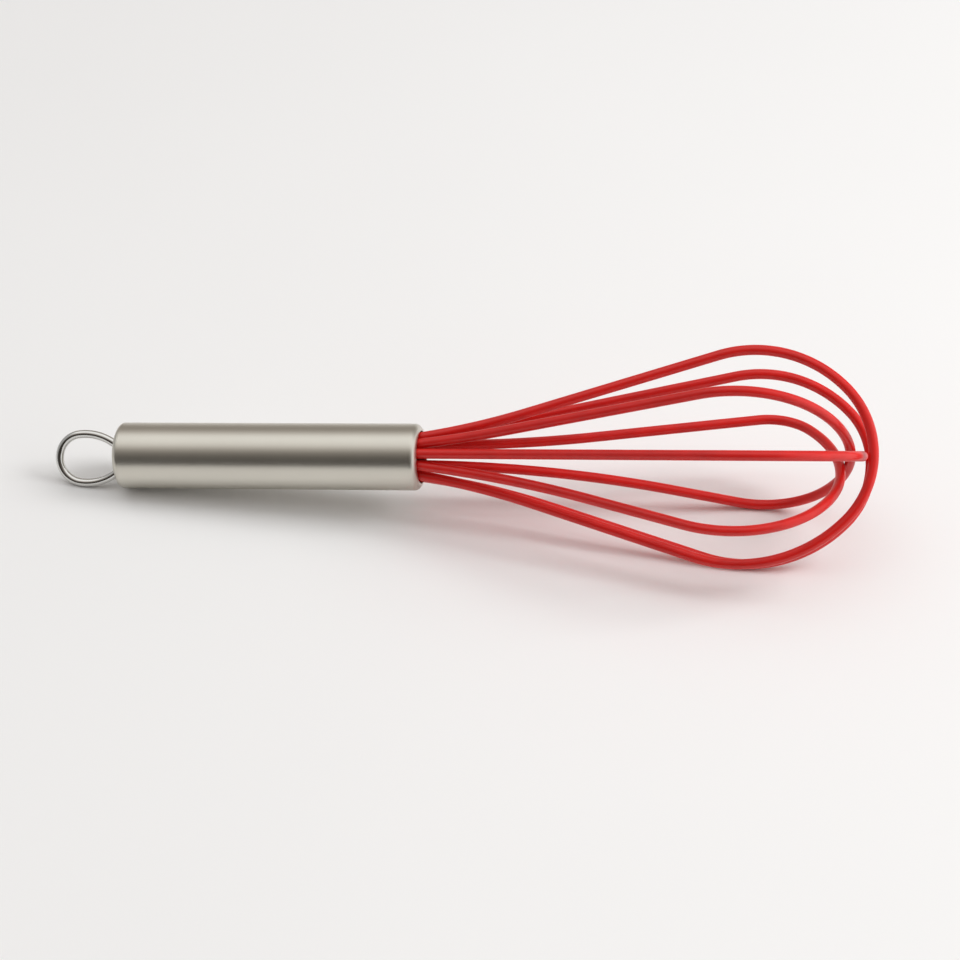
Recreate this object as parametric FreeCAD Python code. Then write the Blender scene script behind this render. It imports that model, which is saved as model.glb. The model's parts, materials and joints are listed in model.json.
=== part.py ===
"""Balloon whisk: a steel handle with a hang loop, and five wire loops covered in silicone.

Everything is first built in the handle's own frame: x runs along the handle's axis from its rear
face (x = 0) to the balloon's tip, z points up, and -y towards the front side. The finished whisk is
then tipped and set down as it lies on a table, on the handle's rear edge and on its lowest strands.
Lengths are in millimetres and angles in degrees.
"""

import FreeCAD
import Part

import math
import os

# --- Driving dimensions: handle -------------------------------------------------------------
HANDLE_LENGTH = 94.1
HANDLE_RADIUS = 10.0
TUBE_WALL = 0.8
LIP_RADIUS = 2.1            # rounding of the rolled-in front lip
SHOULDER_RADIUS = 1.5       # small round between the barrel and the rear face
CROWN_RADIUS = 6.9          # large round between the shoulder and the flat of the rear face
SHOULDER_TURN = 60.0        # how far the profile turns along the small round
CAP_WALL = 0.9
CAP_SKIRT = 6.0             # length of the cap's skirt inside the tube
FIT_GAP = 0.02              # radial gap between pieces that slide into each other

# --- Driving dimensions: hang loop ----------------------------------------------------------
LOOP_WIRE = 2.5             # wire diameter
LOOP_LEG_SPACING = 8.4      # between the two legs inside the handle
LOOP_SPREAD = 35.0          # how far each leg turns outwards where it leaves the cap
LOOP_BEND_RADIUS = 2.6      # of that turn
LOOP_HALF_WIDTH = 7.5       # from the loop's middle to the wire's centre line, at the widest
LOOP_CLOSING = 8.0          # how far each side turns inwards before the end bow starts
LOOP_LEG_INSIDE = 14.0      # straight leg inside the handle
LOOP_PLANE = -30.0          # azimuth of the loop's plane about the handle's axis
LOOP_OFFSET = -1.0          # the loop's middle from the handle's axis, in that plane
FERRULE_RADIUS = 2.1
FERRULE_LENGTH = 4.0
REAR_PLUG_END = 8.0         # the rear plug fills the cap and the tube up to here
HOLE_OVERRUN = 1.0          # the leg holes are cut from this far outside the rear face

# --- Driving dimensions: wire loops ---------------------------------------------------------
STRAND = 3.0                # diameter over the silicone
CORE = 1.6                  # diameter of the steel wire
CORE_GAP = 0.01             # radial gap between a wire and what is moulded or crimped on it
MOUTH_BEND_RADIUS = 30.0    # of the bend just inside the mouth
FLARE_RADIUS = 240.0        # of the long gentle flare outside the mouth
CROWN_START = 46.0          # how far a strand has turned inwards where the balloon's crown starts
SHEATH_INSIDE = 14.0        # how far the silicone reaches into the handle
CORE_INSIDE = 44.0          # how far the wires reach into the handle

# Each loop lies in one plane. azimuth: where its first strand is, about the handle's axis, from
# the top (0) towards the front side (90). ring: how far its strands are from the axis at the mouth.
# offset: how far the plane passes from the axis, at the mouth and at the tip. tip: the crown's
# distance from the mouth. shift: how far the crown's middle is moved towards the first strand.
# Each strand has its lean at the mouth, its steepest flare and the radius of its share of the crown.
LOOPS = [
    {"azimuth": -43.4, "ring": 6.1, "offset": (2.1, 6.8), "tip": 133.0, "shift": 0.7,
     "strands": ((8.8, 16.6, 27.7), (9.3, 17.7, 26.7))},
    {"azimuth": -41.1, "ring": 6.0, "offset": (-1.4, -9.0), "tip": 132.0, "shift": -0.65,
     "strands": ((7.7, 12.0, 22.0), (7.7, 17.4, 25.0))},
    {"azimuth": 21.0, "ring": 6.0, "offset": (-0.9, -3.8), "tip": 126.3, "shift": -3.4,
     "strands": ((10.5, 16.8, 36.0), (3.4, 21.4, 29.5))},
    {"azimuth": 53.0, "ring": 6.3, "offset": (-1.0, -1.0), "tip": 129.8, "shift": -1.1,
     "strands": ((7.0, 18.0, 31.0), (8.3, 15.6, 30.5))},
    {"azimuth": 85.0, "ring": 5.85, "offset": (-0.7, 5.8), "tip": 123.4, "shift": -0.4,
     "strands": ((7.7, 20.5, 31.8), (4.3, 16.6, 36.0))},
]

# --- Driving dimensions: pieces that hold the wires (distances back from the mouth) -----------
GUIDE_SPAN = (8.0, 22.0)    # strand guide
RESIN_SPAN = (22.0, 38.0)   # potting
ANCHOR_SPAN = (38.0, 50.0)  # anchor block

# --- Driving dimensions: how the whisk lies --------------------------------------------------
REST_PITCH = 5.8            # the tip's rise above level

PARTS_FOLDER = "parts"
X_AXIS = FreeCAD.Vector(1, 0, 0)
Y_AXIS = FreeCAD.Vector(0, 1, 0)
ORIGIN = FreeCAD.Vector(0, 0, 0)


def sin(angle):
    return math.sin(math.radians(angle))


def cos(angle):
    return math.cos(math.radians(angle))


def radial(azimuth):
    """Unit vector across the handle's axis, from the top (0) towards the front side (90)."""
    return FreeCAD.Vector(0, -sin(azimuth), cos(azimuth))


class Path:
    """A chain of straight runs and tangent arcs in space, drawn from a point in a direction."""

    def __init__(self, start, direction):
        self.start = (start, direction)
        self.point = start
        self.direction = direction
        self.edges = []

    def line(self, length):
        end = self.point + self.direction * length
        self.edges.append(Part.LineSegment(self.point, end).toShape())
        self.point = end

    def arc(self, radius, turn, normal):
        """Turns by an angle about a normal of the direction; the arc's centre is at this radius."""
        side = math.copysign(1.0, turn)
        centre = self.point + normal.cross(self.direction) * (side * radius)
        arm = self.point - centre
        middle = centre + FreeCAD.Rotation(normal, turn / 2).multVec(arm)
        end = centre + FreeCAD.Rotation(normal, turn).multVec(arm)
        self.edges.append(Part.Arc(self.point, middle, end).toShape())
        self.point = end
        self.direction = FreeCAD.Rotation(normal, turn).multVec(self.direction)

    def tube(self, radius):
        """Solid round wire of this radius along the path."""
        section = Part.Wire(Part.makeCircle(radius, *self.start))
        pipe = Part.Wire(self.edges).makePipeShell([section], True, False)
        return pipe if pipe.ShapeType == "Solid" else Part.Solid(pipe)


def turned(profile):
    """Solid of revolution about the handle's axis; profile is a list of edges in the XZ plane."""
    wire = Part.Wire(profile)
    return Part.Face(wire).revolve(ORIGIN, X_AXIS, 360)


def profile_edges(steps):
    """Edges through (x, r) steps; a step of ("arc", middle, end) is an arc through its middle."""
    edges = []
    here = FreeCAD.Vector(steps[0][0], 0, steps[0][1])
    for step in steps[1:]:
        if step[0] == "arc":
            middle = FreeCAD.Vector(step[1][0], 0, step[1][1])
            end = FreeCAD.Vector(step[2][0], 0, step[2][1])
            edges.append(Part.Arc(here, middle, end).toShape())
        else:
            end = FreeCAD.Vector(step[0], 0, step[1])
            edges.append(Part.LineSegment(here, end).toShape())
        here = end
    return edges


def disc(start, end, radius):
    """Round slug on the handle's axis, from one station to another."""
    return Part.makeCylinder(radius, end - start, X_AXIS * start, X_AXIS)


def shoulder_length():
    """Axial length of the rounded rear corner."""
    return SHOULDER_RADIUS * sin(SHOULDER_TURN) + CROWN_RADIUS * (1 - sin(SHOULDER_TURN))


def rear_corner():
    """The rounded rear corner as two arcs, from the barrel to the rear flat."""
    small_x = shoulder_length()
    small_r = HANDLE_RADIUS - SHOULDER_RADIUS
    large_x = small_x - (SHOULDER_RADIUS - CROWN_RADIUS) * sin(SHOULDER_TURN)
    large_r = small_r + (SHOULDER_RADIUS - CROWN_RADIUS) * cos(SHOULDER_TURN)

    def on(centre_x, centre_r, radius, turn):
        return (centre_x - radius * sin(turn), centre_r + radius * cos(turn))

    small_middle = on(small_x, small_r, SHOULDER_RADIUS, SHOULDER_TURN / 2)
    small_end = on(small_x, small_r, SHOULDER_RADIUS, SHOULDER_TURN)
    large_middle = on(large_x, large_r, CROWN_RADIUS, (SHOULDER_TURN + 90) / 2)
    large_end = on(large_x, large_r, CROWN_RADIUS, 90)
    return ("arc", small_middle, small_end), ("arc", large_middle, large_end)


def make_handle_tube():
    """Plain tube from the rear seam to the mouth, with its front edge rolled inwards."""
    rear = shoulder_length()
    inner = HANDLE_RADIUS - TUBE_WALL
    lip_x = HANDLE_LENGTH - LIP_RADIUS
    lip_r = HANDLE_RADIUS - LIP_RADIUS
    half = LIP_RADIUS * cos(45)
    inner_lip = LIP_RADIUS - TUBE_WALL
    inner_half = inner_lip * cos(45)
    return turned(profile_edges([
        (rear, inner),
        (rear, HANDLE_RADIUS),
        (lip_x, HANDLE_RADIUS),
        ("arc", (lip_x + half, lip_r + half), (HANDLE_LENGTH, lip_r)),
        (lip_x + inner_lip, lip_r),
        ("arc", (lip_x + inner_half, lip_r + inner_half), (lip_x, inner)),
        (rear, inner),
    ]))


def make_rear_cap(leg_holes):
    """Drawn cup that closes the rear: flat, rounded corner, and a skirt inside the tube."""
    seam = shoulder_length()
    skirt = HANDLE_RADIUS - TUBE_WALL - FIT_GAP
    skirt_inner = skirt - CAP_WALL
    first, second = rear_corner()
    cup = turned(profile_edges([
        (seam, HANDLE_RADIUS),
        first,
        second,
        (0.0, 0.0),
        (CAP_WALL, 0.0),
        (CAP_WALL, skirt_inner - CAP_WALL),
        (seam, skirt_inner),
        (seam + CAP_SKIRT, skirt_inner),
        (seam + CAP_SKIRT, skirt),
        (seam, skirt),
        (seam, HANDLE_RADIUS),
    ]))
    return cup.cut(leg_holes)


def make_rear_plug(leg_holes):
    """Moulded plug inside the cap; it holds the hang loop's legs apart."""
    seam = shoulder_length()
    radius = HANDLE_RADIUS - TUBE_WALL - FIT_GAP - CAP_WALL - FIT_GAP
    plug = turned(profile_edges([
        (CAP_WALL, 0.0),
        (REAR_PLUG_END, 0.0),
        (REAR_PLUG_END, radius),
        (seam, radius),
        (CAP_WALL, radius - CAP_WALL),
        (CAP_WALL, 0.0),
    ]))
    return plug.cut(leg_holes)


def hang_loop_path():
    """One wire: out through the cap, round the loop, and back in."""
    across = radial(LOOP_PLANE)
    outwards = X_AXIS * -1
    normal = outwards.cross(across)
    leg = LOOP_LEG_SPACING / 2
    bend_rise = LOOP_BEND_RADIUS * (1 - cos(LOOP_SPREAD))
    side_radius = (LOOP_HALF_WIDTH - leg - bend_rise) / (1 - cos(LOOP_SPREAD))
    bow_height = LOOP_HALF_WIDTH - side_radius * (1 - cos(LOOP_CLOSING))
    bow_radius = bow_height / cos(LOOP_CLOSING)
    path = Path(X_AXIS * LOOP_LEG_INSIDE + across * (LOOP_OFFSET + leg), outwards)
    path.line(LOOP_LEG_INSIDE)
    path.arc(LOOP_BEND_RADIUS, LOOP_SPREAD, normal)
    path.arc(side_radius, -LOOP_SPREAD - LOOP_CLOSING, normal)
    path.arc(bow_radius, 2 * LOOP_CLOSING - 180, normal)
    path.arc(side_radius, -LOOP_SPREAD - LOOP_CLOSING, normal)
    path.arc(LOOP_BEND_RADIUS, LOOP_SPREAD, normal)
    path.line(LOOP_LEG_INSIDE)
    return path


def leg_cylinders(radius, start, end):
    """One cylinder round each leg of the hang loop, between two stations of the handle."""
    leg = LOOP_LEG_SPACING / 2
    feet = [X_AXIS * start + radial(LOOP_PLANE) * (LOOP_OFFSET + side) for side in (leg, -leg)]
    return [Part.makeCylinder(radius, end - start, foot, X_AXIS) for foot in feet]


def make_ferrules():
    """Sleeves crimped on the legs behind the rear plug, which keep the loop from being pulled out."""
    start = REAR_PLUG_END
    end = start + FERRULE_LENGTH
    outers = leg_cylinders(FERRULE_RADIUS, start, end)
    bores = leg_cylinders(LOOP_WIRE / 2 + CORE_GAP, start, end)
    return Part.makeCompound([outer.cut(bore) for outer, bore in zip(outers, bores)])


def strand_runs(plane_length, start_v, end_v, lean, flare, crown):
    """Length of a strand's straight run and radius of its shoulder.

    They are the two sizes that bring the strand from the mouth, at height start_v, to the middle of
    the crown, plane_length away at height end_v. Both closing conditions are linear in them.
    """
    flare_u = FLARE_RADIUS * (sin(flare) - sin(lean))
    flare_v = FLARE_RADIUS * (cos(lean) - cos(flare))
    rest_u = plane_length - flare_u - crown * (1 - sin(CROWN_START))
    rest_v = end_v - start_v - flare_v + crown * cos(CROWN_START)
    shoulder_u = sin(flare) + sin(CROWN_START)
    shoulder_v = cos(CROWN_START) - cos(flare)
    determinant = cos(flare) * shoulder_v - sin(flare) * shoulder_u
    run = (rest_u * shoulder_v - rest_v * shoulder_u) / determinant
    shoulder = (cos(flare) * rest_v - sin(flare) * rest_u) / determinant
    return run, shoulder


def wire_loop_path(loop, inside):
    """Centre line of a whole loop: out of the mouth, round the crown and back, from inside the handle.

    Inside the handle the strands run parallel to its axis. Just behind the mouth each bends into the
    loop's own plane, which is tilted about the mouth to pass the axis at the tip by its tip offset.
    """
    mouth_offset, tip_offset = loop["offset"]
    across = radial(loop["azimuth"])
    sideways = radial(loop["azimuth"] + 90)
    tilt = math.degrees(math.atan2(tip_offset - mouth_offset, loop["tip"]))
    forward = X_AXIS * cos(tilt) + sideways * sin(tilt)
    normal = forward.cross(across)
    plane_length = loop["tip"] / cos(tilt)
    height = math.sqrt(loop["ring"] ** 2 - mouth_offset ** 2)
    middle = X_AXIS * HANDLE_LENGTH + sideways * mouth_offset

    (lean_1, flare_1, crown_1), (lean_2, flare_2, crown_2) = loop["strands"]
    run_1, shoulder_1 = strand_runs(plane_length, height, loop["shift"], lean_1, flare_1, crown_1)
    run_2, shoulder_2 = strand_runs(plane_length, height, -loop["shift"], lean_2, flare_2, crown_2)

    def mouth_bend(lean, side):
        """The bend behind the mouth: its angle, its normal and its own length along the axis."""
        heading = forward * cos(lean) + across * (side * sin(lean))
        angle = math.degrees(X_AXIS.getAngle(heading))
        return angle, X_AXIS.cross(heading).normalize(), MOUTH_BEND_RADIUS * sin(angle)

    angle_1, bend_normal_1, bend_length_1 = mouth_bend(lean_1, 1)
    angle_2, bend_normal_2, bend_length_2 = mouth_bend(lean_2, -1)
    rise = bend_normal_1.cross(X_AXIS) * (MOUTH_BEND_RADIUS * (1 - cos(angle_1)))
    path = Path(middle + across * height - X_AXIS * inside - rise, X_AXIS)
    path.line(inside - bend_length_1)
    path.arc(MOUTH_BEND_RADIUS, angle_1, bend_normal_1)
    path.arc(FLARE_RADIUS, flare_1 - lean_1, normal)
    path.line(run_1)
    path.arc(shoulder_1, -flare_1 - CROWN_START, normal)
    path.arc(crown_1, CROWN_START - 90, normal)
    path.arc(crown_2, CROWN_START - 90, normal)
    path.arc(shoulder_2, -flare_2 - CROWN_START, normal)
    path.line(run_2)
    path.arc(FLARE_RADIUS, flare_2 - lean_2, normal)
    path.arc(MOUTH_BEND_RADIUS, -angle_2, bend_normal_2)
    path.line(inside - bend_length_2)
    return path


def make_sheath(loop):
    """Silicone tube over one loop."""
    path = wire_loop_path(loop, SHEATH_INSIDE)
    return path.tube(STRAND / 2).cut(path.tube(CORE / 2 + CORE_GAP))


def make_core(loop):
    """Spring steel wire of one loop."""
    return wire_loop_path(loop, CORE_INSIDE).tube(CORE / 2)


def make_slug(span, cutters):
    """Round slug inside the tube, given by distances back from the mouth, less what runs through it."""
    far, near = HANDLE_LENGTH - span[1], HANDLE_LENGTH - span[0]
    slug = disc(far, near, HANDLE_RADIUS - TUBE_WALL - FIT_GAP)
    return slug.cut(cutters)


def build():
    """All pieces in the handle's own frame, by name."""
    hang_loop = hang_loop_path().tube(LOOP_WIRE / 2)
    leg_holes = leg_cylinders(LOOP_WIRE / 2 + FIT_GAP, -HOLE_OVERRUN, REAR_PLUG_END)
    strand_space = [wire_loop_path(loop, SHEATH_INSIDE).tube(STRAND / 2 + FIT_GAP) for loop in LOOPS]
    wire_space = [wire_loop_path(loop, CORE_INSIDE).tube(CORE / 2 + CORE_GAP) for loop in LOOPS]
    pieces = {
        "handle_tube": make_handle_tube(),
        "rear_cap": make_rear_cap(leg_holes),
        "rear_plug": make_rear_plug(leg_holes),
        "hang_loop": hang_loop,
        "hang_loop_ferrules": make_ferrules(),
        "strand_guide": make_slug(GUIDE_SPAN, strand_space + wire_space),
        "resin_fill": make_slug(RESIN_SPAN, wire_space),
        "anchor_block": make_slug(ANCHOR_SPAN, wire_space),
    }
    for number, loop in enumerate(LOOPS, start=1):
        pieces[f"silicone_sheath_{number}"] = make_sheath(loop)
        pieces[f"wire_core_{number}"] = make_core(loop)
    return pieces


def extremes(shapes, tolerance=0.01):
    """Smallest and largest coordinates of the shapes' surfaces."""
    points = [point for shape in shapes for point in shape.tessellate(tolerance)[0]]
    low = FreeCAD.Vector(*(min(point[axis] for point in points) for axis in range(3)))
    high = FreeCAD.Vector(*(max(point[axis] for point in points) for axis in range(3)))
    return low, high


def set_down(pieces):
    """Tips the whisk to its resting pitch and puts the middle of its underside at the origin."""
    tipped = FreeCAD.Placement(ORIGIN, FreeCAD.Rotation(Y_AXIS, -REST_PITCH))
    for name, shape in pieces.items():
        pieces[name] = shape.transformed(tipped.Matrix)
    low, high = extremes(pieces.values())
    offset = FreeCAD.Vector(-(low.x + high.x) / 2, -(low.y + high.y) / 2, -low.z)
    for shape in pieces.values():
        shape.translate(offset)
    return offset


def main():
    os.makedirs(PARTS_FOLDER, exist_ok=True)
    pieces = build()
    offset = set_down(pieces)
    print("rear end of the axis is at", offset)
    for name, shape in pieces.items():
        shape.exportStep(os.path.join(PARTS_FOLDER, name + ".step"))
        print(f"{name}: {len(shape.Solids)} solid, {shape.Volume:.1f} mm3, valid {shape.isValid()}")


main()
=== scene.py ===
"""Balloon whisk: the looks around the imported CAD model.

The handle, the hang loop and the silicone are modelled again here, finely, in the handle's own frame:
x runs along the handle's axis from its rear face (x = 0) to the balloon's tip, z points up and -y
towards the front side. Lengths in that frame are in millimetres, as in the CAD source; MM turns them
into the scene's metres. Angles are in degrees.
"""

import json
import math

import bmesh
import bpy
from mathutils import Matrix, Vector


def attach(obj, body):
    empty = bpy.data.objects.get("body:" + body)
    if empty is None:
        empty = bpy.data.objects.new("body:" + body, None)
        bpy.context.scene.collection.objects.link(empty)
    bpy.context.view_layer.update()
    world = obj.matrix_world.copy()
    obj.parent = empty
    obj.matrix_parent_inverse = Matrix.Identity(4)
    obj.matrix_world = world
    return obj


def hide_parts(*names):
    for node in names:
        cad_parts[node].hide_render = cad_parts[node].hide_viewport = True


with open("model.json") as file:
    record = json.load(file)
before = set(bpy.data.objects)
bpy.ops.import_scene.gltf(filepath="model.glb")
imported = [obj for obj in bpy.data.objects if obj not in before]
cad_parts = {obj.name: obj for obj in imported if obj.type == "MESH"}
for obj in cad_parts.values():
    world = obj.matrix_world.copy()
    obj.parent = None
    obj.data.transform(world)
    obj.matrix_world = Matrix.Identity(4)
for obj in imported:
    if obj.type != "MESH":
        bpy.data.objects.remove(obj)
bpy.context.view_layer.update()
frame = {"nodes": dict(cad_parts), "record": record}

MM = 0.001
MICRON = 0.000001

# --- Handle ---------------------------------------------------------------------------------
HANDLE_LENGTH = 94.1
TUBE_WALL = 0.8
LIP_RADIUS = 2.1            # rounding of the rolled-in front lip
SHOULDER_RADIUS = 1.5       # small round between the barrel and the rear face
CROWN_RADIUS = 6.9          # large round between the shoulder and the flat of the rear face
SHOULDER_TURN = 60.0        # how far the profile turns along the small round
CAP_WALL = 0.9
CAP_SKIRT = 6.0             # length of the cap's skirt inside the tube
FIT_GAP = 0.02              # radial gap between pieces that slide into each other
SEAM = 0.04                 # half the width and the depth of the line between cap and tube
POLE_RADIUS = 0.02          # of the small flat face at the middle of a turned end
LEG_HOLE_GAP = 0.06         # between the rim of a leg's hole and the wire
LEG_HOLE_SPAN = (-2.0, 4.0)    # the hole is cut from before the rear face to behind the cap's wall

# --- Hang loop ------------------------------------------------------------------------------
LOOP_WIRE = 2.5             # wire diameter
LOOP_LEG_SPACING = 8.4      # between the two legs inside the handle
LOOP_SPREAD = 35.0          # how far each leg turns outwards where it leaves the cap
LOOP_BEND_RADIUS = 2.6      # of that turn
LOOP_HALF_WIDTH = 7.5       # from the loop's middle to the wire's centre line, at the widest
LOOP_CLOSING = 8.0          # how far each side turns inwards before the end bow starts
LOOP_LEG_INSIDE = 14.0      # straight leg inside the handle
LOOP_PLANE = -30.0          # azimuth of the loop's plane about the handle's axis
LOOP_OFFSET = -1.0          # the loop's middle from the handle's axis, in that plane

# --- Wire loops -----------------------------------------------------------------------------
STRAND = 3.0                # diameter over the silicone
CORE = 1.6                  # diameter of the steel wire
CORE_GAP = 0.01             # radial gap between the wire and its silicone
MOUTH_BEND_RADIUS = 30.0    # of the bend just inside the mouth
FLARE_RADIUS = 240.0        # of the long gentle flare outside the mouth
CROWN_START = 46.0          # how far a strand has turned inwards where the balloon's crown starts
SHEATH_INSIDE = 14.0        # how far the silicone reaches into the handle

# Each loop lies in one plane: azimuth of its first strand, radius of the ring of strands at the
# mouth, the plane's distance from the axis at mouth and tip, distance of the crown and its shift,
# and for each strand its lean at the mouth, its steepest flare and the radius of its crown.
LOOPS = [
    {"azimuth": -43.4, "ring": 6.1, "offset": (2.1, 6.8), "tip": 133.0, "shift": 0.7,
     "strands": ((8.8, 16.6, 27.7), (9.3, 17.7, 26.7))},
    {"azimuth": -41.1, "ring": 6.0, "offset": (-1.4, -9.0), "tip": 132.0, "shift": -0.65,
     "strands": ((7.7, 12.0, 22.0), (7.7, 17.4, 25.0))},
    {"azimuth": 21.0, "ring": 6.0, "offset": (-0.9, -3.8), "tip": 126.3, "shift": -3.4,
     "strands": ((10.5, 16.8, 36.0), (3.4, 21.4, 29.5))},
    {"azimuth": 53.0, "ring": 6.3, "offset": (-1.0, -1.0), "tip": 129.8, "shift": -1.1,
     "strands": ((7.0, 18.0, 31.0), (8.3, 15.6, 30.5))},
    {"azimuth": 85.0, "ring": 5.85, "offset": (-0.7, 5.8), "tip": 123.4, "shift": -0.4,
     "strands": ((7.7, 20.5, 31.8), (4.3, 16.6, 36.0))},
]

# --- Mesh fineness --------------------------------------------------------------------------
RING_STEP = 0.7             # between the rings of a swept wire
ARC_STEP = 3.0              # largest turn between two rings, or two points of a profile
WIRE_SIDES = 40
TURNED_SIDES = 192
BARREL_STEP = 3.0           # between the rings of the straight barrel
SHARP_EDGE = 30.0           # edges that turn more than this stay crisp

# --- Materials ------------------------------------------------------------------------------
NOISE_SPREAD = (0.3, 0.7)   # most values of a noise lie between these

# --- Camera ---------------------------------------------------------------------------------
CAMERA_AZIMUTH = 8.2
CAMERA_ELEVATION = 38.0
CAMERA_DISTANCE = 722.9
CAMERA_TARGET = (5.4, 17.0, 0.0)    # on the floor, in the scene's own axes
LENS = 88.1                 # focal length
SENSOR = 36.0               # width

# --- Light: brightness of what surrounds the whisk, by height above the horizon on the camera's
# side (degrees; 90 is straight up and 180 the horizon behind the whisk). The dim part behind the
# camera is a little warm. At both sides it gives way to a brightness of their own.
SURROUND = [
    (0.0, 0.04),
    (10.0, 0.04),
    (24.0, 0.05),
    (34.0, 0.10),
    (44.0, 0.19),
    (54.0, 0.33),
    (66.0, 0.76),
    (78.0, 1.07),
    (95.0, 1.18),
    (108.0, 1.22),
    (120.0, 0.88),
    (136.0, 0.40),
    (154.0, 0.30),
    (180.0, 0.62),
]
WARMTH = (1.0, 0.87, 0.76)  # colour of the dimmest light
SIDE_LIGHT = (0.45, 1.35)   # brightness at the far left and the far right
SIDE_START = 0.50           # the sides take over where a direction leans this far along x
SIDE_END = 0.85

# Square lamps that metal doesn't mirror: azimuth (0 is the camera's side, 90 the right), elevation,
# size in metres and power. The first is the main one; the second lifts the near sides a little.
LAMP_DISTANCE = 1.4         # metres
LAMPS = [
    (100.0, 40.0, 0.6, 8.6),
    (-15.0, 60.0, 0.7, 0.5),
]

FLOOR_HALF = 8.0            # metres


def sin(angle):
    return math.sin(math.radians(angle))


def cos(angle):
    return math.cos(math.radians(angle))


def mount(name):
    return next(item for item in frame["record"]["mounts"] if item["name"] == name)


def shoulder_length():
    """Axial length of the rounded rear corner."""
    return SHOULDER_RADIUS * sin(SHOULDER_TURN) + CROWN_RADIUS * (1 - sin(SHOULDER_TURN))


BARREL = mount("handle_barrel")
HANDLE_RADIUS = BARREL["dims"]["r_mm"]


def handle_frame():
    """Places the handle's own frame in the scene, from the record's mount on the barrel."""
    axis = -Vector(BARREL["axis"]).normalized()
    across = Vector((0, 1, 0))
    middle = (shoulder_length() + HANDLE_LENGTH - LIP_RADIUS) / 2
    rear = Vector(BARREL["pos_m"]) - axis * (middle * MM)
    columns = Matrix((axis, across, axis.cross(across))).transposed()
    return Matrix.Translation(rear) @ columns.to_4x4()


# --- Mesh building --------------------------------------------------------------------------


def radial(azimuth):
    """Unit vector across the handle's axis, from the top (0) towards the front side (90)."""
    return Vector((0, -sin(azimuth), cos(azimuth)))


class Path:
    """A chain of straight runs and tangent arcs, kept as closely spaced points with headings."""

    def __init__(self, start, heading):
        self.points = [start]
        self.headings = [heading]

    def line(self, length):
        start, heading = self.points[-1], self.headings[-1]
        count = max(1, round(length / RING_STEP))
        for step in range(1, count + 1):
            self.points.append(start + heading * (length * step / count))
            self.headings.append(heading)

    def arc(self, radius, turn, normal):
        """Turns by an angle about a normal of the heading."""
        start, heading = self.points[-1], self.headings[-1]
        centre = start + normal.cross(heading) * math.copysign(radius, turn)
        length = radius * math.radians(abs(turn))
        count = max(1, round(length / RING_STEP), math.ceil(abs(turn) / ARC_STEP))
        for step in range(1, count + 1):
            rotation = Matrix.Rotation(math.radians(turn * step / count), 3, normal)
            self.points.append(centre + rotation @ (start - centre))
            self.headings.append(rotation @ heading)

    def rings(self, radius):
        """One ring of points round each point of the path, without twist from ring to ring."""
        side = self.headings[0].orthogonal().normalized()
        rings = []
        for point, heading in zip(self.points, self.headings):
            side = (side - heading * side.dot(heading)).normalized()
            up = heading.cross(side)
            angles = [360 * k / WIRE_SIDES for k in range(WIRE_SIDES)]
            rings.append([point + (side * cos(a) + up * sin(a)) * radius for a in angles])
        return rings

    def stations(self):
        """Distance of each point along the path."""
        total = [0.0]
        for before, after in zip(self.points, self.points[1:]):
            total.append(total[-1] + (after - before).length)
        return total


def skin(mesh, rings, stations, girth, closed=False):
    """Quads from ring to ring. The UV map holds the distance along and around, in metres."""
    layer = mesh.loops.layers.uv.verify()
    rows = [[mesh.verts.new(point * MM) for point in ring] for ring in rings]
    sides = len(rings[0])
    pairs = [(row, row + 1) for row in range(len(rows) - 1)]
    if closed:
        pairs.append((len(rows) - 1, 0))
    for low, high in pairs:
        for side in range(sides):
            corners = ((low, side), (high, side), (high, side + 1), (low, side + 1))
            face = mesh.faces.new([rows[row][column % sides] for row, column in corners])
            for loop, (row, column) in zip(face.loops, corners):
                loop[layer].uv = (stations[row] * MM, girth * column / sides * MM)
    return rows


def profile(start, steps):
    """Points of a turned outline. A straight step is its end (x, r). An arc is its centre's x and r,
    its radius, and the angles where it starts and ends."""
    points = [start]
    for step in steps:
        if len(step) == 2:
            x, r = points[-1]
            count = max(1, round(math.hypot(step[0] - x, step[1] - r) / BARREL_STEP))
            for k in range(1, count + 1):
                points.append((x + (step[0] - x) * k / count, r + (step[1] - r) * k / count))
        else:
            centre_x, centre_r, radius, first, last = step
            count = math.ceil(abs(last - first) / ARC_STEP)
            for k in range(1, count + 1):
                angle = first + (last - first) * k / count
                points.append((centre_x + radius * sin(angle), centre_r + radius * cos(angle)))
    return points


def turned_rings(points):
    """One ring round the handle's axis for each (x, r) of an outline."""
    angles = [360 * k / TURNED_SIDES for k in range(TURNED_SIDES)]
    return [[Vector((x, 0, 0)) + radial(angle) * r for angle in angles] for x, r in points]


def outline_stations(points):
    total = [0.0]
    for (x0, r0), (x1, r1) in zip(points, points[1:]):
        total.append(total[-1] + math.hypot(x1 - x0, r1 - r0))
    return total


def finish_piece(mesh, name, material, nodes):
    """Turns a bmesh into a piece that rides on the frame and stands for CAD nodes."""
    bmesh.ops.recalc_face_normals(mesh, faces=mesh.faces)
    for face in mesh.faces:
        face.smooth = True
    for edge in mesh.edges:
        if len(edge.link_faces) == 2 and edge.calc_face_angle(0.0) > math.radians(SHARP_EDGE):
            edge.smooth = False
    data = bpy.data.meshes.new(name)
    mesh.to_mesh(data)
    mesh.free()
    data.transform(handle_frame())
    data.materials.append(material)
    piece = bpy.data.objects.new(name, data)
    bpy.context.scene.collection.objects.link(piece)
    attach(piece, "root")
    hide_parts(*nodes)
    return piece


# --- Pieces ---------------------------------------------------------------------------------


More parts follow.
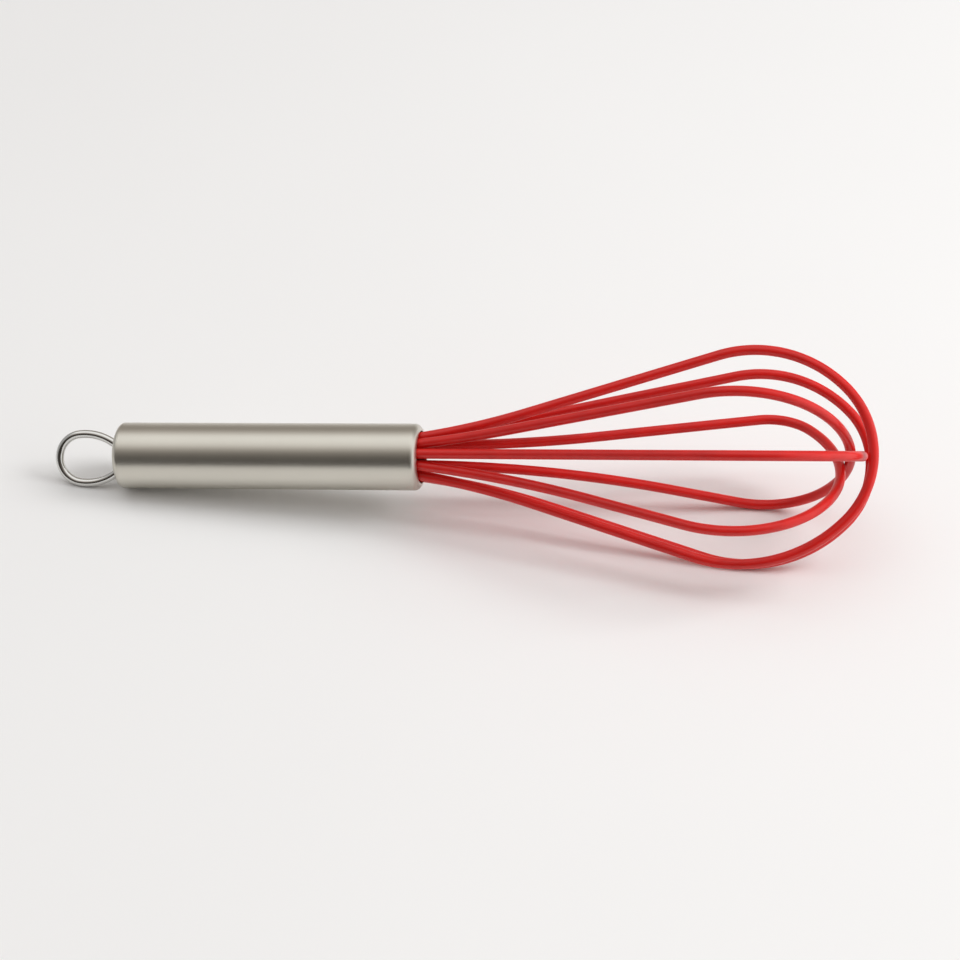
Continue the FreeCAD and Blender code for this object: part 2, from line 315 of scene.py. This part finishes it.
def make_handle_tube(material):
    """Tube with its front edge rolled inwards, and a fine bevel at the seam with the cap."""
    rear = shoulder_length()
    inner = HANDLE_RADIUS - TUBE_WALL
    lip_x = HANDLE_LENGTH - LIP_RADIUS
    lip_r = HANDLE_RADIUS - LIP_RADIUS
    points = profile((rear, HANDLE_RADIUS - SEAM), [
        (rear + SEAM, HANDLE_RADIUS),
        (lip_x, HANDLE_RADIUS),
        (lip_x, lip_r, LIP_RADIUS, 0, 90),
        (HANDLE_LENGTH - TUBE_WALL, lip_r),
        (lip_x, lip_r, LIP_RADIUS - TUBE_WALL, 90, 0),
        (rear, inner),
    ])
    mesh = bmesh.new()
    skin(mesh, turned_rings(points), outline_stations(points), math.tau * HANDLE_RADIUS, closed=True)
    return finish_piece(mesh, "handle_tube_looks", material, ["handle_tube"])


def bore(piece, holes):
    """Cuts other meshes out of a piece and removes them."""
    for hole in holes:
        cut = piece.modifiers.new("hole", "BOOLEAN")
        cut.object = hole
        cut.operation = "DIFFERENCE"
        cut.solver = "EXACT"
    graph = bpy.context.evaluated_depsgraph_get()
    data = bpy.data.meshes.new_from_object(piece.evaluated_get(graph))
    piece.modifiers.clear()
    piece.data = data
    for hole in holes:
        bpy.data.objects.remove(hole)


def leg_place(side):
    """Where a leg of the hang loop crosses the rear face; side is 1 or -1."""
    return radial(LOOP_PLANE) * (LOOP_OFFSET + side * LOOP_LEG_SPACING / 2)


def leg_hole(side):
    """A round bar where a leg of the hang loop passes through the cap."""
    start, end = LEG_HOLE_SPAN
    axis = Vector((1, 0, 0))
    path = Path(leg_place(side) + axis * start, axis)
    path.line(end - start)
    mesh = bmesh.new()
    rows = skin(mesh, path.rings(LOOP_WIRE / 2 + LEG_HOLE_GAP), path.stations(), 1.0)
    mesh.faces.new(rows[0])
    mesh.faces.new(rows[-1])
    bmesh.ops.recalc_face_normals(mesh, faces=mesh.faces)
    data = bpy.data.meshes.new("hole")
    mesh.to_mesh(data)
    mesh.free()
    data.transform(handle_frame())
    hole = bpy.data.objects.new("hole", data)
    bpy.context.scene.collection.objects.link(hole)
    return hole


def make_rear_cap(material):
    """Drawn cup that closes the rear, with its skirt inside the tube and a hole for each leg."""
    seam = shoulder_length()
    skirt = HANDLE_RADIUS - TUBE_WALL - FIT_GAP
    skirt_inner = skirt - CAP_WALL
    small_r = HANDLE_RADIUS - SHOULDER_RADIUS
    large_x = seam + (CROWN_RADIUS - SHOULDER_RADIUS) * sin(SHOULDER_TURN)
    large_r = small_r - (CROWN_RADIUS - SHOULDER_RADIUS) * cos(SHOULDER_TURN)
    points = profile((0.0, POLE_RADIUS), [
        (0.0, large_r),
        (large_x, large_r, CROWN_RADIUS, -90, -SHOULDER_TURN),
        (seam, small_r, SHOULDER_RADIUS, -SHOULDER_TURN, 0),
        (seam, HANDLE_RADIUS - SEAM),
        (seam, skirt),
        (seam + CAP_SKIRT, skirt),
        (seam + CAP_SKIRT, skirt_inner),
        (seam, skirt_inner),
        (CAP_WALL, skirt_inner - CAP_WALL),
        (CAP_WALL, POLE_RADIUS),
    ])
    mesh = bmesh.new()
    rows = skin(mesh, turned_rings(points), outline_stations(points), math.tau * HANDLE_RADIUS)
    mesh.faces.new(rows[0])
    mesh.faces.new(rows[-1])
    piece = finish_piece(mesh, "rear_cap_looks", material, ["rear_cap"])
    bore(piece, [leg_hole(1), leg_hole(-1)])
    return piece


def hang_loop_path():
    """One wire: out through the cap, round the loop, and back in."""
    across = radial(LOOP_PLANE)
    outwards = Vector((-1, 0, 0))
    normal = outwards.cross(across)
    leg = LOOP_LEG_SPACING / 2
    bend_rise = LOOP_BEND_RADIUS * (1 - cos(LOOP_SPREAD))
    side_radius = (LOOP_HALF_WIDTH - leg - bend_rise) / (1 - cos(LOOP_SPREAD))
    bow_height = LOOP_HALF_WIDTH - side_radius * (1 - cos(LOOP_CLOSING))
    bow_radius = bow_height / cos(LOOP_CLOSING)
    path = Path(leg_place(1) - outwards * LOOP_LEG_INSIDE, outwards)
    path.line(LOOP_LEG_INSIDE)
    path.arc(LOOP_BEND_RADIUS, LOOP_SPREAD, normal)
    path.arc(side_radius, -LOOP_SPREAD - LOOP_CLOSING, normal)
    path.arc(bow_radius, 2 * LOOP_CLOSING - 180, normal)
    path.arc(side_radius, -LOOP_SPREAD - LOOP_CLOSING, normal)
    path.arc(LOOP_BEND_RADIUS, LOOP_SPREAD, normal)
    path.line(LOOP_LEG_INSIDE)
    return path


def make_hang_loop(material):
    path = hang_loop_path()
    mesh = bmesh.new()
    rows = skin(mesh, path.rings(LOOP_WIRE / 2), path.stations(), math.pi * LOOP_WIRE)
    mesh.faces.new(rows[0])
    mesh.faces.new(rows[-1])
    return finish_piece(mesh, "hang_loop_looks", material, ["hang_loop"])


def strand_runs(plane_length, start_v, end_v, lean, flare, crown):
    """Length of a strand's straight run and radius of its shoulder, which close its outline."""
    flare_u = FLARE_RADIUS * (sin(flare) - sin(lean))
    flare_v = FLARE_RADIUS * (cos(lean) - cos(flare))
    rest_u = plane_length - flare_u - crown * (1 - sin(CROWN_START))
    rest_v = end_v - start_v - flare_v + crown * cos(CROWN_START)
    shoulder_u = sin(flare) + sin(CROWN_START)
    shoulder_v = cos(CROWN_START) - cos(flare)
    determinant = cos(flare) * shoulder_v - sin(flare) * shoulder_u
    run = (rest_u * shoulder_v - rest_v * shoulder_u) / determinant
    shoulder = (cos(flare) * rest_v - sin(flare) * rest_u) / determinant
    return run, shoulder


def wire_loop_path(loop):
    """Centre line of a loop's silicone: out of the mouth, round the crown and back in."""
    mouth_offset, tip_offset = loop["offset"]
    axis = Vector((1, 0, 0))
    across = radial(loop["azimuth"])
    sideways = radial(loop["azimuth"] + 90)
    tilt = math.degrees(math.atan2(tip_offset - mouth_offset, loop["tip"]))
    forward = axis * cos(tilt) + sideways * sin(tilt)
    normal = forward.cross(across)
    plane_length = loop["tip"] / cos(tilt)
    height = math.sqrt(loop["ring"] ** 2 - mouth_offset ** 2)
    middle = axis * HANDLE_LENGTH + sideways * mouth_offset

    (lean_1, flare_1, crown_1), (lean_2, flare_2, crown_2) = loop["strands"]
    run_1, shoulder_1 = strand_runs(plane_length, height, loop["shift"], lean_1, flare_1, crown_1)
    run_2, shoulder_2 = strand_runs(plane_length, height, -loop["shift"], lean_2, flare_2, crown_2)

    def mouth_bend(lean, side):
        """The bend behind the mouth: its angle, its normal and its own length along the axis."""
        heading = forward * cos(lean) + across * (side * sin(lean))
        angle = math.degrees(axis.angle(heading))
        return angle, axis.cross(heading).normalized(), MOUTH_BEND_RADIUS * sin(angle)

    angle_1, bend_normal_1, bend_length_1 = mouth_bend(lean_1, 1)
    angle_2, bend_normal_2, bend_length_2 = mouth_bend(lean_2, -1)
    rise = bend_normal_1.cross(axis) * (MOUTH_BEND_RADIUS * (1 - cos(angle_1)))
    path = Path(middle + across * height - axis * SHEATH_INSIDE - rise, axis)
    path.line(SHEATH_INSIDE - bend_length_1)
    path.arc(MOUTH_BEND_RADIUS, angle_1, bend_normal_1)
    path.arc(FLARE_RADIUS, flare_1 - lean_1, normal)
    path.line(run_1)
    path.arc(shoulder_1, -flare_1 - CROWN_START, normal)
    path.arc(crown_1, CROWN_START - 90, normal)
    path.arc(crown_2, CROWN_START - 90, normal)
    path.arc(shoulder_2, -flare_2 - CROWN_START, normal)
    path.line(run_2)
    path.arc(FLARE_RADIUS, flare_2 - lean_2, normal)
    path.arc(MOUTH_BEND_RADIUS, -angle_2, bend_normal_2)
    path.line(SHEATH_INSIDE - bend_length_2)
    return path


def make_sheath(number, loop, material):
    """Silicone tube of one loop: its outside, its bore and the blunt ends between them."""
    path = wire_loop_path(loop)
    outside = path.rings(STRAND / 2)
    bore_rings = path.rings(CORE / 2 + CORE_GAP)
    stations = path.stations()
    mesh = bmesh.new()
    skin(mesh, outside + bore_rings[::-1], stations + stations[::-1], math.pi * STRAND, closed=True)
    node = f"silicone_sheath_{number}"
    return finish_piece(mesh, node + "_looks", material, [node])


# --- Building materials ---------------------------------------------------------------------


class Nodes:
    """Short calls for building a material's or the world's node tree."""

    def __init__(self, owner):
        owner.use_nodes = True
        self.tree = owner.node_tree
        self.tree.nodes.clear()

    def add(self, kind, settings=None, **inputs):
        node = self.tree.nodes.new(kind)
        for name, value in (settings or {}).items():
            setattr(node, name, value)
        self.feed(node, **inputs)
        return node

    def feed(self, node, **inputs):
        """Sets a node's inputs, each to a value or to another node's output.

        An input is called by its name, with underscores for spaces, or by its number after one.
        """
        for name, value in inputs.items():
            key = int(name[1:]) if name[0] == "_" else name.replace("_", " ")
            if isinstance(value, bpy.types.NodeSocket):
                self.tree.links.new(value, node.inputs[key])
            else:
                node.inputs[key].default_value = value

    def ramp(self, factor, stops):
        """Colour ramp over (place, colour) stops."""
        node = self.add("ShaderNodeValToRGB", Fac=factor)
        elements = node.color_ramp.elements
        while len(elements) < len(stops):
            elements.new(0.5)
        for element, (place, colour) in zip(elements, stops):
            element.position = place
            element.color = colour
        return node.outputs["Color"]

    def mottled(self, noise, dark, light):
        """Colour that follows a noise from dark to light."""
        low, high = NOISE_SPREAD
        return self.ramp(noise, [(low, dark), (high, light)])

    def noise(self, vector, scale, detail=3.0, roughness=0.5):
        node = self.add(
            "ShaderNodeTexNoise", Vector=vector, Scale=scale, Detail=detail, Roughness=roughness,
        )
        return node.outputs["Fac"]

    def stretched(self, vector, scale):
        """The vector scaled by a different amount along each axis."""
        return self.add("ShaderNodeMapping", Vector=vector, Scale=scale).outputs["Vector"]

    def range(self, value, low, high):
        """A value from 0 to 1 taken to low to high."""
        node = self.add("ShaderNodeMapRange", Value=value, To_Min=low, To_Max=high)
        return node.outputs["Result"]

    def calculate(self, operation, *values):
        """Result of a calculation on numbers or other nodes' outputs."""
        inputs = {f"_{place}": value for place, value in enumerate(values)}
        return self.add("ShaderNodeMath", {"operation": operation}, **inputs).outputs["Value"]

    def bump(self, height, depth, strength, under=None):
        """Bump of a depth in metres, on top of another bump's normal."""
        node = self.add("ShaderNodeBump", Height=height, Distance=depth, Strength=strength)
        if under is not None:
            self.feed(node, Normal=under)
        return node.outputs["Normal"]


def grey(value):
    return (value, value, value, 1.0)


def shaded(colour, factor):
    return (*(channel * factor for channel in colour), 1.0)


def new_material(name):
    material = bpy.data.materials.new(name)
    nodes = Nodes(material)
    surface = nodes.add("ShaderNodeBsdfPrincipled")
    nodes.add("ShaderNodeOutputMaterial", Surface=surface.outputs["BSDF"])
    return material, nodes, surface


def brushed_steel():
    """Satin stainless steel, brushed round the handle: very fine lines across its length."""
    colour = (0.63, 0.605, 0.54)
    material, nodes, surface = new_material("brushed_steel_looks")
    place = nodes.add("ShaderNodeUVMap").outputs["UV"]
    lines = nodes.noise(nodes.stretched(place, (1.0, 0.03, 1.0)), scale=14000.0, detail=4.0, roughness=0.7)
    bands = nodes.noise(nodes.stretched(place, (1.0, 0.06, 1.0)), scale=1200.0, detail=2.0)
    solid = nodes.add("ShaderNodeTexCoord").outputs["Object"]
    patches = nodes.noise(solid, scale=60.0, detail=3.0)
    tangent = nodes.add("ShaderNodeTangent", {"direction_type": "UV_MAP"}).outputs["Tangent"]
    nodes.feed(
        surface,
        Base_Color=nodes.mottled(patches, shaded(colour, 0.985), shaded(colour, 1.015)),
        Metallic=1.0,
        Roughness=nodes.range(bands, 0.33, 0.37),
        Anisotropic=0.45,
        Tangent=tangent,
        Normal=nodes.bump(lines, depth=0.6 * MICRON, strength=0.5),
    )
    return material


def polished_steel():
    """Bright drawn wire with faint drawing lines along it."""
    colour = (0.70, 0.695, 0.67)
    material, nodes, surface = new_material("polished_steel_looks")
    place = nodes.add("ShaderNodeUVMap").outputs["UV"]
    lines = nodes.noise(nodes.stretched(place, (0.03, 1.0, 1.0)), scale=5000.0, detail=3.0, roughness=0.6)
    smudges = nodes.noise(nodes.add("ShaderNodeTexCoord").outputs["Object"], scale=220.0, detail=4.0)
    nodes.feed(
        surface,
        Base_Color=nodes.mottled(smudges, shaded(colour, 0.94), shaded(colour, 1.02)),
        Metallic=1.0,
        Roughness=nodes.range(smudges, 0.06, 0.14),
        Normal=nodes.bump(lines, depth=MICRON, strength=0.4),
    )
    return material


def red_silicone():
    """Semi-matt silicone rubber: soft sheen, a little light bleeding through, faint mottling."""
    colour = (0.67, 0.012, 0.009)
    material, nodes, surface = new_material("red_silicone_looks")
    solid = nodes.add("ShaderNodeTexCoord").outputs["Object"]
    mottling = nodes.noise(solid, scale=140.0, detail=3.0)
    skin_grain = nodes.noise(solid, scale=2600.0, detail=3.0, roughness=0.6)
    place = nodes.add("ShaderNodeUVMap").outputs["UV"]
    drawn = nodes.noise(nodes.stretched(place, (0.05, 1.0, 1.0)), scale=1500.0, detail=2.0)
    soft = nodes.bump(drawn, depth=10 * MICRON, strength=0.35)
    nodes.feed(
        surface,
        Base_Color=nodes.mottled(mottling, shaded(colour, 0.92), shaded(colour, 1.06)),
        Roughness=nodes.range(skin_grain, 0.29, 0.37),
        IOR=1.48,
        Specular_IOR_Level=0.5,
        Subsurface_Weight=0.10,
        Subsurface_Radius=(1.0, 0.12, 0.10),
        Subsurface_Scale=0.3 * MM,
        Normal=nodes.bump(skin_grain, depth=12 * MICRON, strength=0.5, under=soft),
    )
    return material


def moulded_plastic():
    """Dark nylon with a fine spark-eroded grain."""
    material, nodes, surface = new_material("moulded_plastic_looks")
    solid = nodes.add("ShaderNodeTexCoord").outputs["Object"]
    grain = nodes.noise(solid, scale=3200.0, detail=4.0, roughness=0.65)
    flow = nodes.noise(solid, scale=180.0, detail=2.0)
    nodes.feed(
        surface,
        Base_Color=nodes.mottled(flow, grey(0.035), grey(0.05)),
        Roughness=nodes.range(grain, 0.45, 0.65),
        Normal=nodes.bump(grain, depth=20 * MICRON, strength=0.6),
    )
    return material


def potting_resin():
    """Cast amber resin with a few bubbles and a smooth skin."""
    material, nodes, surface = new_material("potting_resin_looks")
    solid = nodes.add("ShaderNodeTexCoord").outputs["Object"]
    clouds = nodes.noise(solid, scale=240.0, detail=4.0)
    bubbles = nodes.add("ShaderNodeTexVoronoi", Vector=solid, Scale=900.0).outputs["Distance"]
    nodes.feed(
        surface,
        Base_Color=nodes.mottled(clouds, (0.42, 0.27, 0.09, 1.0), (0.55, 0.38, 0.15, 1.0)),
        Roughness=nodes.range(clouds, 0.12, 0.28),
        Normal=nodes.bump(bubbles, depth=30 * MICRON, strength=0.3),
    )
    return material


def spring_wire():
    """Drawn spring steel, slightly dull."""
    material, nodes, surface = new_material("spring_wire_looks")
    solid = nodes.add("ShaderNodeTexCoord").outputs["Object"]
    stains = nodes.noise(solid, scale=400.0, detail=4.0)
    nodes.feed(
        surface,
        Base_Color=nodes.mottled(stains, grey(0.46), grey(0.56)),
        Metallic=1.0,
        Roughness=nodes.range(stains, 0.25, 0.4),
        Normal=nodes.bump(stains, depth=4 * MICRON, strength=0.5),
    )
    return material


def pale_floor():
    """Smooth matt white surface."""
    material, nodes, surface = new_material("pale_floor")
    solid = nodes.add("ShaderNodeTexCoord").outputs["Object"]
    clouds = nodes.noise(solid, scale=6.0, detail=2.0)
    nodes.feed(
        surface,
        Base_Color=nodes.mottled(clouds, grey(0.885), grey(0.895)),
        Roughness=0.8,
        Specular_IOR_Level=0.2,
    )
    return material


# --- Stage ----------------------------------------------------------------------------------


def direction_from(azimuth, elevation):
    """Unit vector towards a place round the whisk; azimuth 0 is the camera's side and 90 the right."""
    flat = cos(elevation)
    return Vector((sin(azimuth) * flat, -cos(azimuth) * flat, sin(elevation)))


def make_floor():
    data = bpy.data.meshes.new("floor")
    corners = [(-1, -1), (1, -1), (1, 1), (-1, 1)]
    data.from_pydata([(x * FLOOR_HALF, y * FLOOR_HALF, 0) for x, y in corners], [], [(0, 1, 2, 3)])
    data.materials.append(pale_floor())
    floor = bpy.data.objects.new("floor", data)
    bpy.context.scene.collection.objects.link(floor)


def make_camera():
    data = bpy.data.cameras.new("camera")
    data.sensor_width = SENSOR
    data.lens = LENS
    camera = bpy.data.objects.new("camera", data)
    back = direction_from(CAMERA_AZIMUTH, CAMERA_ELEVATION)
    camera.location = (Vector(CAMERA_TARGET) + back * CAMERA_DISTANCE) * MM
    camera.rotation_mode = "QUATERNION"
    camera.rotation_quaternion = (-back).to_track_quat("-Z", "Y")
    bpy.context.scene.collection.objects.link(camera)
    bpy.context.scene.camera = camera


def surround_colour(brightness):
    """A brightness as a colour: the dimmer, the warmer."""
    dimness = max(0.0, 1 - brightness / max(value for _, value in SURROUND))
    return (*(brightness * (1 + dimness * (channel - 1)) for channel in WARMTH), 1.0)


def make_surround():
    """Soft studio light all round: bright overhead and on the right, dim behind the camera."""
    world = bpy.data.worlds.new("studio")
    bpy.context.scene.world = world
    nodes = Nodes(world)
    way = nodes.add("ShaderNodeTexCoord").outputs["Generated"]
    axes = nodes.add("ShaderNodeSeparateXYZ", Vector=way).outputs
    front = nodes.calculate("MULTIPLY", axes["Y"], -1.0)
    height = nodes.calculate("ARCTAN2", axes["Z"], front)
    half_turns = nodes.calculate("DIVIDE", height, math.pi)
    stops = [(angle / 180, surround_colour(value)) for angle, value in SURROUND]
    lean = nodes.calculate("ABSOLUTE", axes["X"])
    sides = nodes.add(
        "ShaderNodeMapRange", {"interpolation_type": "SMOOTHSTEP"},
        Value=lean, From_Min=SIDE_START, From_Max=SIDE_END,
    ).outputs["Result"]
    blend = nodes.add(
        "ShaderNodeMix", {"data_type": "RGBA"},
        _0=sides, _6=nodes.ramp(half_turns, stops), _7=nodes.range(axes["X"], *SIDE_LIGHT),
    )
    light = nodes.add("ShaderNodeBackground", Color=blend.outputs[2])
    nodes.add("ShaderNodeOutputWorld", Surface=light.outputs["Background"])


def make_lamp(azimuth, elevation, size, power):
    """Soft square lamp that faces the whisk and that metal doesn't mirror."""
    data = bpy.data.lights.new("lamp", "AREA")
    data.size = size
    data.energy = power
    way = direction_from(azimuth, elevation)
    lamp = bpy.data.objects.new("lamp", data)
    lamp.location = way * LAMP_DISTANCE
    lamp.rotation_mode = "QUATERNION"
    lamp.rotation_quaternion = way.to_track_quat("Z", "Y")
    lamp.visible_glossy = False
    bpy.context.scene.collection.objects.link(lamp)


def dress_inner_nodes():
    """Gives the CAD pieces that stay, all inside the handle or the silicone, their materials."""
    looks = {
        "moulded_plastic": moulded_plastic(),
        "potting_resin": potting_resin(),
        "spring_wire": spring_wire(),
        "polished_steel": bpy.data.materials["polished_steel_looks"],
    }
    for subpart in frame["record"]["subparts"]:
        node = frame["nodes"][subpart["node"]]
        if not node.hide_render:
            for slot in node.material_slots:
                slot.material = looks[subpart["material_slot"]]


steel = brushed_steel()
make_handle_tube(steel)
make_rear_cap(steel)
make_hang_loop(polished_steel())
silicone = red_silicone()
for number, loop in enumerate(LOOPS, start=1):
    make_sheath(number, loop, silicone)
dress_inner_nodes()

make_floor()
make_camera()
make_surround()
for lamp in LAMPS:
    make_lamp(*lamp)
bpy.context.scene.view_settings.view_transform = "Standard"
